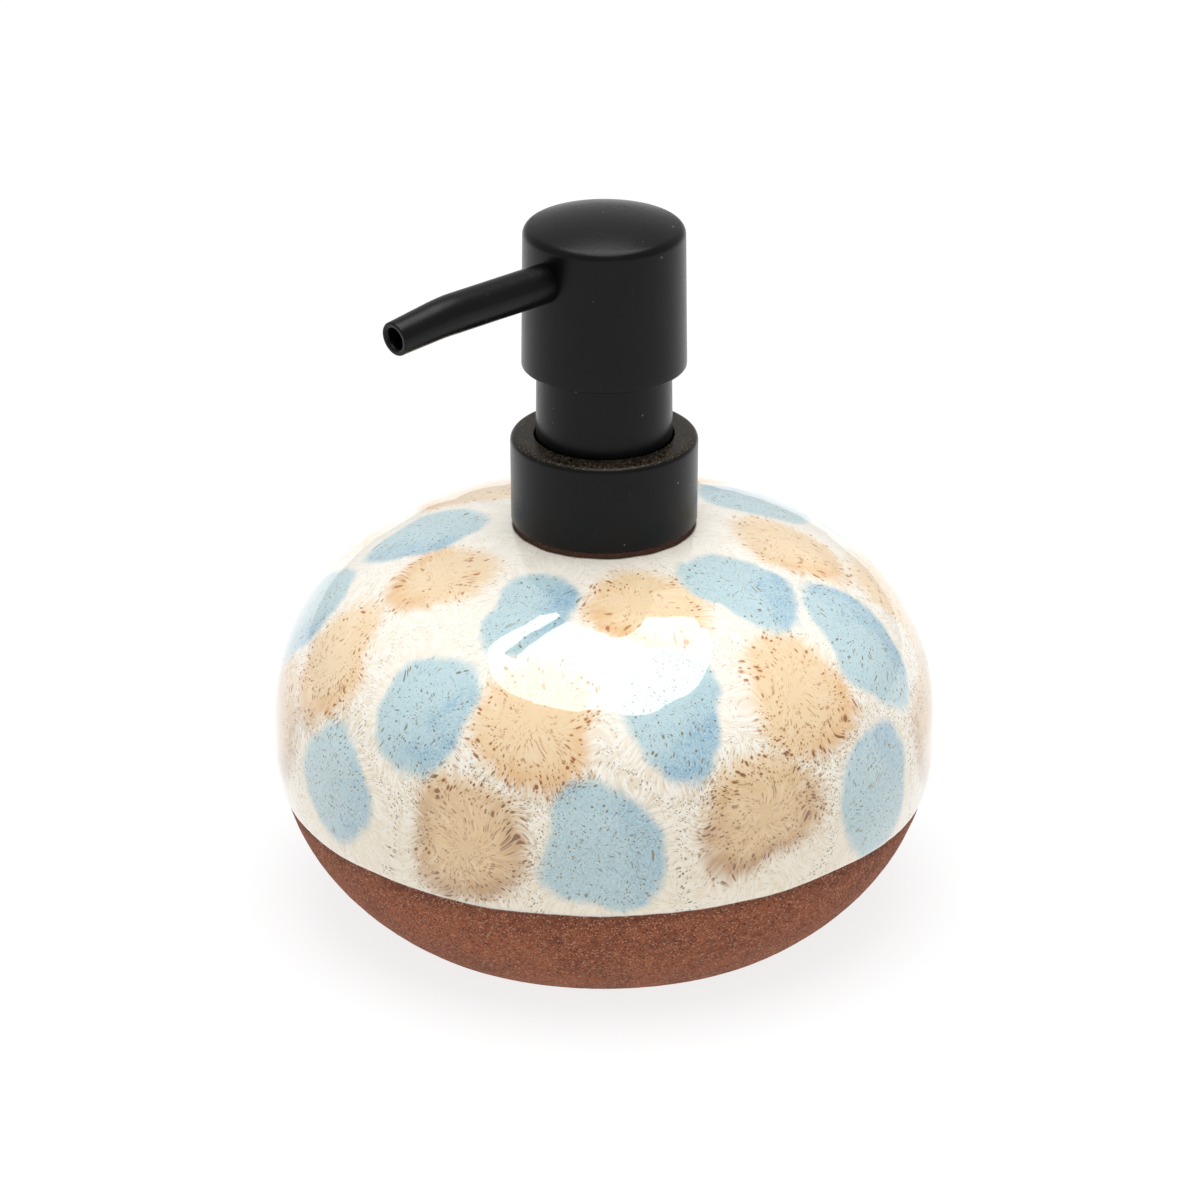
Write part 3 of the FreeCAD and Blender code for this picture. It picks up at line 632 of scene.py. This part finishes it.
    swell = g.noise(place, 0.55, 2, 0.5)
    bump = g.bump(swell, 0.00002, 0.6)
    return g.finish(Base_Color=colour, Roughness=0.05, IOR=1.55, Normal=bump, Specular_IOR_Level=0.65,
                    Coat_Weight=1.0, Coat_IOR=1.52, Coat_Roughness=0.01)


# ------------------------------------------------------------------ stoneware
CLAY_COLUMNS = 900
FOOT_RECESS_R = 33.0
FOOT_RECESS_H = 1.2
FOOT_EDGE_R = 0.7
NECK_TOP_Z = 73.0


def clay_profile():
    """Section of the clay body from its floor round to its foot, and how rough each point is."""
    offset = GLAZE_T
    outer = outline_path(offset, NECK_RING_R, 0.0, 0.40)
    buried = outer[outer[:, 1] > GLAZE_LINE_Z + 3][::12]
    bare = outer[outer[:, 1] <= GLAZE_LINE_Z + 3]
    foot_r = bare[-1, 0]
    edge = bare[-4]
    bare = bare[:-4]
    foot = arc_corner(edge, (foot_r, 0.0), (foot_r - 3, 0.0), FOOT_EDGE_R, 6)
    under = divided([(foot_r - 3, 0.0), (FOOT_RECESS_R, 0.0), (FOOT_RECESS_R - 0.8, FOOT_RECESS_H),
                     (2.0, FOOT_RECESS_H)], 1.4, False)
    inner = outline_path(WALL_T, MOUTH_R, FLOOR_Z, 3.0)[::-1]
    ring_top = outline_z(NECK_RING_R, offset)
    neck = arc_corner((MOUTH_R, 68), (MOUTH_R, NECK_TOP_Z), (14, NECK_TOP_Z), 0.25, 3)
    ring_corner = (NECK_RING_R, NECK_TOP_Z)
    shoulder = arc_corner((15, NECK_TOP_Z), ring_corner, (NECK_RING_R, ring_top), 0.3, 4)
    hidden = [*inner, *neck, *shoulder, *buried]
    profile = [*hidden, *bare, *foot, *under]
    rough = [0.0] * len(hidden) + [1.0] * len(bare) + [0.7] * len(foot) + [0.0] * len(under)
    return np.array([tuple(p) for p in profile]), np.array(rough)


def build_clay(material):
    profile, rough = clay_profile()
    grid = ring_grid(profile, CLAY_COLUMNS)
    rng = np.random.default_rng(5)
    grain = 0.035 * wrapped_noise(rng, len(profile), CLAY_COLUMNS, 1)
    grain += 0.045 * wrapped_noise(rng, len(profile), CLAY_COLUMNS, 5)
    pits = wrapped_noise(rng, len(profile), CLAY_COLUMNS, 2)
    grain -= 0.10 * np.clip(pits - 0.72, 0, None)
    depth = np.clip(0.06 - grain, 0, 0.3) * rough[:, None]
    outward = grid.copy()
    outward[..., 2] = 0
    outward /= np.linalg.norm(outward, axis=-1, keepdims=True)
    grid = grid - outward * depth[..., None]
    return capped("stoneware", grid, FLOOR_Z, FOOT_RECESS_H, material)


def clay_material():
    g = Graph("terracotta")
    place = g.position()
    broad = g.noise(place, 0.12, 3, 0.55)
    mottle = g.noise(place, 0.9, 4, 0.65)
    colour = g.mix(g.smooth(broad, 0.35, 0.68), linear(140, 78, 52), linear(114, 62, 43))
    colour = g.mix(g.smooth(mottle, 0.40, 0.66, 0.0, 0.7), colour, linear(156, 96, 68))
    height = g.split(place)[2]
    colour = g.mix(g.smooth(height, 20.0, 23.0, 0.0, 0.55), colour, linear(96, 54, 40))

    def grains(scale, size, keep, tint, strength):
        nonlocal colour
        cell = g.cells(place, scale)
        pick = g.split(cell["Color"])
        reach = g.math("MULTIPLY", g.smooth(pick[0], keep, 1.0), size)
        dots = g.smooth(g.math("SUBTRACT", reach, cell["Distance"]), 0.0, 0.15)
        colour = g.mix(g.math("MULTIPLY", dots, strength), colour, tint)
        return dots

    pale = grains(2.8, 0.62, 0.35, linear(196, 150, 122), 0.7)
    grains(3.1, 0.55, 0.45, linear(196, 116, 72), 0.7)
    dark = grains(2.3, 0.60, 0.45, linear(66, 36, 28), 0.75)
    # painted shade: the bare clay ring at the neck is darkened where it sits under the collar
    colour = g.mix(g.smooth(height, 68.0, 71.5, 0.0, 0.8), colour, linear(66, 50, 42))
    sand = g.noise(place, 4.2, 3, 0.7)
    relief = g.math("ADD", g.math("MULTIPLY", pale, 0.5), sand)
    relief = g.math("SUBTRACT", relief, g.math("MULTIPLY", dark, 0.6))
    bump = g.bump(relief, 0.00016, 0.8)
    return g.finish(Base_Color=colour, Roughness=g.smooth(sand, 0.3, 0.7, 0.78, 0.95), Normal=bump,
                    Specular_IOR_Level=0.3)


# ------------------------------------------------------------------ black plastic
def black_plastic(name, dust, gloss=0.27):
    """Matt moulded plastic with fine texture, a few dust specks and faint rub marks."""
    g = Graph(name)
    place = g.position()
    texture = g.noise(place, 9.0, 3, 0.6)
    cloud = g.noise(place, 0.16, 3, 0.6)
    rub = g.noise(g.vector("MULTIPLY", place, (0.5, 0.5, 0.12)), 1.0, 4, 0.7)
    colour = g.mix(g.smooth(cloud, 0.35, 0.7), linear(4, 4, 5), linear(7, 7, 8))
    colour = g.mix(g.smooth(rub, 0.64, 0.8, 0.0, 0.30), colour, linear(66, 66, 68))
    cell = g.cells(place, 0.42)
    pick = g.split(cell["Color"])
    size = g.smooth(pick[0], 1 - dust, 1.0, 0.0, 0.11)
    speck = g.smooth(g.math("SUBTRACT", size, cell["Distance"]), 0.0, 0.03)
    colour = g.mix(g.math("MULTIPLY", speck, 0.7), colour, linear(112, 109, 104))
    rough = g.math("MULTIPLY_ADD", texture, 0.12, g.smooth(rub, 0.5, 0.8, gloss - 0.06, gloss + 0.06))
    bump = g.bump(texture, 0.00003, 0.35)
    return g, colour, rough, bump


def plain_black(name, dust=0.25):
    g, colour, rough, bump = black_plastic(name, dust)
    return g.finish(Base_Color=colour, Roughness=rough, Normal=bump, Specular_IOR_Level=0.20)


def dusty_collar(name):
    """The same plastic with brown-gold clay dust lying on the collar's top."""
    g, colour, rough, bump = black_plastic(name, 0.35)
    place = g.position()
    height = g.split(place)[2]
    on_top = g.smooth(height, 88.7, 89.1)
    fine = g.noise(place, 3.4, 4, 0.75)
    cell = g.cells(place, 2.6)
    pick = g.split(cell["Color"])[0]
    dots = g.smooth(g.math("SUBTRACT", g.smooth(pick, 0.3, 1.0, 0.0, 0.5), cell["Distance"]), 0.0, 0.16)
    dust = g.math("MULTIPLY", on_top, g.math("MAXIMUM", dots, g.smooth(fine, 0.45, 0.7, 0.0, 0.6)))
    colour = g.mix(g.math("MULTIPLY", dust, 0.75), colour, linear(122, 104, 80))
    rough = g.blend(dust, rough, 0.85)
    return g.finish(Base_Color=colour, Roughness=rough, Normal=bump, Specular_IOR_Level=0.20)


COLLAR_TOP_Z = 89.25
COLLAR_WEB_Z = 88.45
COLLAR_BOTTOM_Z = 73.2
COLLAR_TOP_R = 16.75
COLLAR_FOOT_R = 16.65
COLLAR_INNER_R = 15.75
COLLAR_HOLE_R = 12.45


def build_collar(material):
    profile = rounded([
        (COLLAR_HOLE_R, COLLAR_TOP_Z, 0.25), (COLLAR_TOP_R, COLLAR_TOP_Z, 1.15),
        (COLLAR_FOOT_R, COLLAR_BOTTOM_Z, 0.25), (COLLAR_INNER_R, COLLAR_BOTTOM_Z, 0.15),
        (COLLAR_INNER_R, COLLAR_WEB_Z, 0.3), (COLLAR_HOLE_R, COLLAR_WEB_Z, 0.1),
    ], steps=8)
    return turned("collar", profile, 256, material)


GUIDE_TOP_Z = 105.0
GUIDE_TOP_R = 12.0
GUIDE_FOOT_R = 12.2
GUIDE_INNER_R = 10.9
GUIDE_FLANGE_R = 13.3
GUIDE_FLANGE_TOP_Z = 87.2
GUIDE_FLANGE_Z = 86.2


def build_guide_tube(material):
    profile = rounded([
        (GUIDE_TOP_R, GUIDE_TOP_Z, 0.3), (GUIDE_FOOT_R, GUIDE_FLANGE_TOP_Z, 0.05),
        (GUIDE_FLANGE_R, GUIDE_FLANGE_TOP_Z, 0.1), (GUIDE_FLANGE_R, GUIDE_FLANGE_Z, 0.1),
        (GUIDE_INNER_R, GUIDE_FLANGE_Z, 0.05), (GUIDE_INNER_R, GUIDE_TOP_Z, 0.3),
    ])
    return turned("guide_tube", profile, 224, material)


HEAD_RIM_Z = 102.6
HEAD_RIM_R = 14.68
HEAD_TOP_R = 14.37
HEAD_FILLET_R = 1.8
HEAD_CROWN_R = 38.7
HEAD_APEX_Z = 130.9
HEAD_BORE_R = 13.05
HEAD_WALL_T = 1.5


def crown_arc(r_side, fillet_r, crown_r, crown_z, fillet_steps, crown_steps):
    """Shoulder fillet and crown of a domed cap, from its side to near its axis."""
    centre_r = r_side - fillet_r
    centre_z = crown_z + math.sqrt((crown_r - fillet_r) ** 2 - centre_r ** 2)
    lean = math.atan2(centre_r, centre_z - crown_z)
    points = []
    for k in range(fillet_steps + 1):
        angle = math.pi / 2 + (lean - math.pi / 2) * k / fillet_steps
        points.append((centre_r + fillet_r * math.sin(angle), centre_z + fillet_r * math.cos(angle)))
    for k in range(1, crown_steps):
        angle = lean * (1 - k / crown_steps)
        points.append((crown_r * math.sin(angle), crown_z + crown_r * math.cos(angle)))
    return points


def build_head(material):
    crown_z = HEAD_APEX_Z - HEAD_CROWN_R
    outside = crown_arc(HEAD_TOP_R, HEAD_FILLET_R, HEAD_CROWN_R, crown_z, 12, 16)
    inside = crown_arc(HEAD_BORE_R, 1.0, HEAD_CROWN_R - HEAD_WALL_T, crown_z, 4, 8)[::-1]
    rim_in = arc_corner((HEAD_BORE_R, 110), (HEAD_BORE_R, HEAD_RIM_Z), (14, HEAD_RIM_Z), 0.25, 4)
    rim_out = arc_corner((14, HEAD_RIM_Z), (HEAD_RIM_R, HEAD_RIM_Z), outside[0], 0.35, 5)
    profile = divided([*inside, *rim_in, *rim_out, *outside], 1.2, False)
    return capped("press_head", ring_grid(profile, 256), HEAD_APEX_Z - HEAD_WALL_T, HEAD_APEX_Z, material)


SPOUT_Z = 121.35
SPOUT_R = 3.55
SPOUT_TIP_R = 3.08
SPOUT_BORE_R = 1.9
SPOUT_ROOT_Y = 11.4
SPOUT_BEND_Y = 37.6
SPOUT_TIP_L = 11.2
SPOUT_DROP_DEG = 6.0
SPOUT_PLUG_R = 2.95
SPOUT_PLUG_Y = 4.6


def spout_line(run):
    """Point and direction of the spout's centre line at a distance from the pump's axis."""
    drop = math.radians(SPOUT_DROP_DEG)
    ease = 2.6
    start, end = SPOUT_BEND_Y - ease, SPOUT_BEND_Y + ease
    share = min(max((run - start) / (end - start), 0), 1)
    bend_radius = (end - start) / drop
    angle = drop * share
    y = min(run, start) + bend_radius * math.sin(angle) + max(run - end, 0) * math.cos(drop)
    z = SPOUT_Z - bend_radius * (1 - math.cos(angle)) - max(run - end, 0) * math.sin(drop)
    return np.array([0, -y, z]), np.array([0, -math.cos(angle), -math.sin(angle)])


def build_spout(material):
    """Tube with a plug at its root, a slight bend, a taper to the tip and a countersunk bore."""
    end = SPOUT_BEND_Y + SPOUT_TIP_L
    rings = [
        (SPOUT_PLUG_Y, SPOUT_BORE_R), (SPOUT_PLUG_Y, SPOUT_PLUG_R - 0.2),
        (SPOUT_PLUG_Y + 0.2, SPOUT_PLUG_R), (SPOUT_ROOT_Y - 0.02, SPOUT_PLUG_R),
        (SPOUT_ROOT_Y, SPOUT_R - 0.15), (SPOUT_ROOT_Y + 0.15, SPOUT_R),
    ]
    rings += [(run, SPOUT_R) for run in np.arange(12.5, SPOUT_BEND_Y - 2.5, 1.3)]
    for run in np.arange(SPOUT_BEND_Y - 2.4, end - 0.4, 0.6):
        share = min(max((run - SPOUT_BEND_Y + 2) / (SPOUT_TIP_L + 1.6), 0), 1)
        rings.append((run, SPOUT_R + (SPOUT_TIP_R - SPOUT_R) * share))
    lip = 0.30
    for k in range(7):
        angle = math.pi / 2 * k / 6
        rings.append((end - lip + lip * math.sin(angle), SPOUT_TIP_R - lip + lip * math.cos(angle)))
    rings += [(end, SPOUT_BORE_R + 0.45), (end - 0.10, SPOUT_BORE_R + 0.28), (end - 0.6, SPOUT_BORE_R)]
    rings += [(run, SPOUT_BORE_R) for run in np.arange(end - 2, SPOUT_PLUG_Y + 1, -2.0)]
    columns = 72
    verts = []
    for run, radius in rings:
        centre, along = spout_line(run)
        side = np.array([1.0, 0, 0])
        up = np.cross(side, along)
        for j in range(columns):
            angle = 2 * math.pi * j / columns
            verts.append(centre + radius * (side * math.cos(angle) + up * math.sin(angle)))
    faces = grid_faces(len(rings), columns, True)
    return make_object("spout_tube", verts, faces.tolist(), material)


# ------------------------------------------------------------------ spring
def build_spring(material):
    """Return spring with closed end coils."""
    wire_r, coil_r, turns = 0.45, 5.0, 8.0
    low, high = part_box("spring")
    z0, z1 = low.z / MM + wire_r, high.z / MM - wire_r
    steps, columns = int(turns * 40), 12
    verts = []
    for i in range(steps + 1):
        t = i / steps
        flat = 0.9
        rise = np.interp(t * turns, [0, 1, turns - 1, turns], [0, flat, (z1 - z0) - flat, z1 - z0])
        angle = 2 * math.pi * turns * t
        centre = np.array([coil_r * math.cos(angle), coil_r * math.sin(angle), z0 + rise])
        outward = np.array([math.cos(angle), math.sin(angle), 0])
        for j in range(columns):
            a = 2 * math.pi * j / columns
            verts.append(centre + wire_r * (outward * math.cos(a) + np.array([0, 0, 1]) * math.sin(a)))
    faces = [tuple(int(v) for v in f) for f in grid_faces(steps + 1, columns, False)]
    faces = [f[::-1] for f in faces]
    faces.append(tuple(range(columns)))
    faces.append(tuple(reversed(range(steps * columns, (steps + 1) * columns))))
    return make_object("return_spring", verts, faces, material)


# ------------------------------------------------------------------ inner materials
def moulded(name, colour, rough, alpha_haze=0.0):
    """Plain moulded plastic or rubber with a slight cloud and fine texture."""
    g = Graph(name)
    place = g.position()
    cloud = g.noise(place, 0.3, 3, 0.6)
    darker = tuple(c * 0.86 for c in colour[:3]) + (1.0,)
    tint = g.mix(g.smooth(cloud, 0.35, 0.65), colour, darker)
    texture = g.noise(place, 6.0, 3, 0.6)
    bump = g.bump(texture, 0.00003, 0.3)
    roughness = g.smooth(texture, 0.3, 0.7, rough - 0.05, rough + 0.05)
    return g.finish(Base_Color=tint, Roughness=roughness, Normal=bump, Subsurface_Weight=alpha_haze)


def metal(name, colour, rough, drawn):
    """Steel with fine drawing marks."""
    g = Graph(name)
    place = g.position()
    marks = g.noise(g.vector("MULTIPLY", place, (1.0, 1.0, drawn)), 5.0, 4, 0.7)
    tint = g.mix(g.smooth(marks, 0.35, 0.7), colour, tuple(c * 0.8 for c in colour[:3]) + (1.0,))
    roughness = g.smooth(marks, 0.3, 0.7, rough, rough + 0.12)
    bump = g.bump(marks, 0.00001, 0.3)
    return g.finish(Base_Color=tint, Roughness=roughness, Normal=bump, Metallic=1.0)


# ------------------------------------------------------------------ stage
FLOOR_HALF = 6.0
FLOOR_GLOW = 0.81
SOFTBOX_HEIGHT = 0.88
SOFTBOX_SIZE = (0.80, 0.93)
SOFTBOX_POWER = 7.3
WORLD_STRENGTH = 0.54


def build_floor():
    g = Graph("floor")
    place = g.add("ShaderNodeTexCoord").outputs["Object"]
    tint = g.mix(g.noise(place, 6.0, 2), (0.19, 0.19, 0.19, 1), (0.21, 0.21, 0.21, 1))
    material = g.finish(Base_Color=tint, Roughness=0.9, Specular_IOR_Level=0.0,
                        Emission_Color=(1, 1, 1, 1), Emission_Strength=FLOOR_GLOW)
    mesh = bpy.data.meshes.new("floor")
    half = FLOOR_HALF
    corners = [(-half, -half, 0), (half, -half, 0), (half, half, 0), (-half, half, 0)]
    mesh.from_pydata(corners, [], [(0, 1, 2, 3)])
    floor = bpy.data.objects.new("floor", mesh)
    bpy.context.scene.collection.objects.link(floor)
    mesh.materials.append(material)


def add_area(name, place, target, size, power):
    lamp = bpy.data.lights.new(name, "AREA")
    lamp.shape = "ELLIPSE"
    lamp.size, lamp.size_y = size
    lamp.energy = power
    obj = bpy.data.objects.new(name, lamp)
    obj.location = place
    obj.rotation_euler = (Vector(target) - Vector(place)).to_track_quat("-Z", "Y").to_euler()
    bpy.context.scene.collection.objects.link(obj)
    return obj


def view_direction(azimuth_deg):
    azimuth = math.radians(azimuth_deg)
    return Vector((math.sin(azimuth), -math.cos(azimuth), 0))


def build_lights():
    place = (0, 0, SOFTBOX_HEIGHT)
    overhead = add_area("overhead_softbox", place, (0, 0, 0), SOFTBOX_SIZE, SOFTBOX_POWER)
    overhead.rotation_euler = (0, 0, math.radians(VIEW_AZIMUTH))
    world = bpy.data.worlds.new("studio")
    world.use_nodes = True
    background = world.node_tree.nodes["Background"]
    background.inputs["Color"].default_value = (1.0, 1.0, 1.0, 1)
    background.inputs["Strength"].default_value = WORLD_STRENGTH
    bpy.context.scene.world = world


def build_camera():
    camera = bpy.data.cameras.new("camera")
    camera.lens = LENS
    camera.sensor_width = 36
    camera.shift_x = SHIFT_X
    camera.clip_end = 20
    obj = bpy.data.objects.new("camera", camera)
    elevation = math.radians(VIEW_ELEVATION)
    target = Vector((0, 0, TARGET_Z))
    flat = view_direction(VIEW_AZIMUTH)
    away = flat * math.cos(elevation) + Vector((0, 0, math.sin(elevation)))
    obj.location = target + away * VIEW_DISTANCE
    obj.rotation_euler = (target - obj.location).to_track_quat("-Z", "Y").to_euler()
    bpy.context.scene.collection.objects.link(obj)
    bpy.context.scene.camera = obj


# ------------------------------------------------------------------ assembly
def show(piece, body, slot, *nodes):
    """Puts a piece on its body in place of the CAD nodes that it stands for."""
    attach(piece, body)
    if nodes:
        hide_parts(*nodes)


def main():
    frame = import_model()
    cad_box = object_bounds()
    black = plain_black("matt_black")
    show(build_clay(clay_material()), "bottle", "terracotta", "bottle")
    show(build_glaze(glaze_material()), "bottle", "glaze", "glaze_coat")
    show(build_collar(dusty_collar("collar_black")), "collar", "black_plastic", "collar_shell")
    show(build_guide_tube(black), "pump", "black_plastic", "guide_sleeve")
    show(build_head(black), "head", "black_plastic", "head_shell")
    show(build_spout(black), "head", "black_plastic", "spout")

    steel = metal("drawn_steel", linear(176, 177, 180), 0.22, 0.3)
    spring = build_spring(steel)
    show(spring, "pump", "spring_steel", "spring")
    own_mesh(spring)

    inner = {
        "natural": moulded("natural_plastic", linear(226, 226, 218), 0.42),
        "tube": moulded("tube_plastic", linear(222, 224, 220), 0.3),
        "soft": moulded("piston_plastic", linear(208, 210, 208), 0.38),
        "amber": moulded("adhesive", linear(205, 190, 150), 0.25),
        "foam": moulded("gasket_foam", linear(214, 213, 208), 0.85),
        "rubber": moulded("seal_rubber", linear(34, 34, 35), 0.6),
        "black": moulded("black_inner", linear(26, 26, 27), 0.5),
        "ball": metal("ball_steel", linear(205, 206, 208), 0.08, 1.0),
    }
    looks = {
        "neck_insert": "natural", "pump_housing": "natural", "stem_guide": "natural", "ball_cage": "natural",
        "stem": "natural", "dip_tube": "tube", "piston": "soft", "insert_adhesive": "amber", "gasket": "foam",
        "stem_wiper": "rubber", "spout_seal": "rubber", "closure_ring": "black", "head_core": "black",
        "inlet_ball": "ball", "outlet_ball": "ball",
    }
    for node, look in looks.items():
        mesh = frame["nodes"][node].data
        mesh.materials.clear()
        mesh.materials.append(inner[look])

    build_floor()
    build_lights()
    build_camera()
    bpy.context.scene.view_settings.view_transform = "Standard"
    return cad_box


main()
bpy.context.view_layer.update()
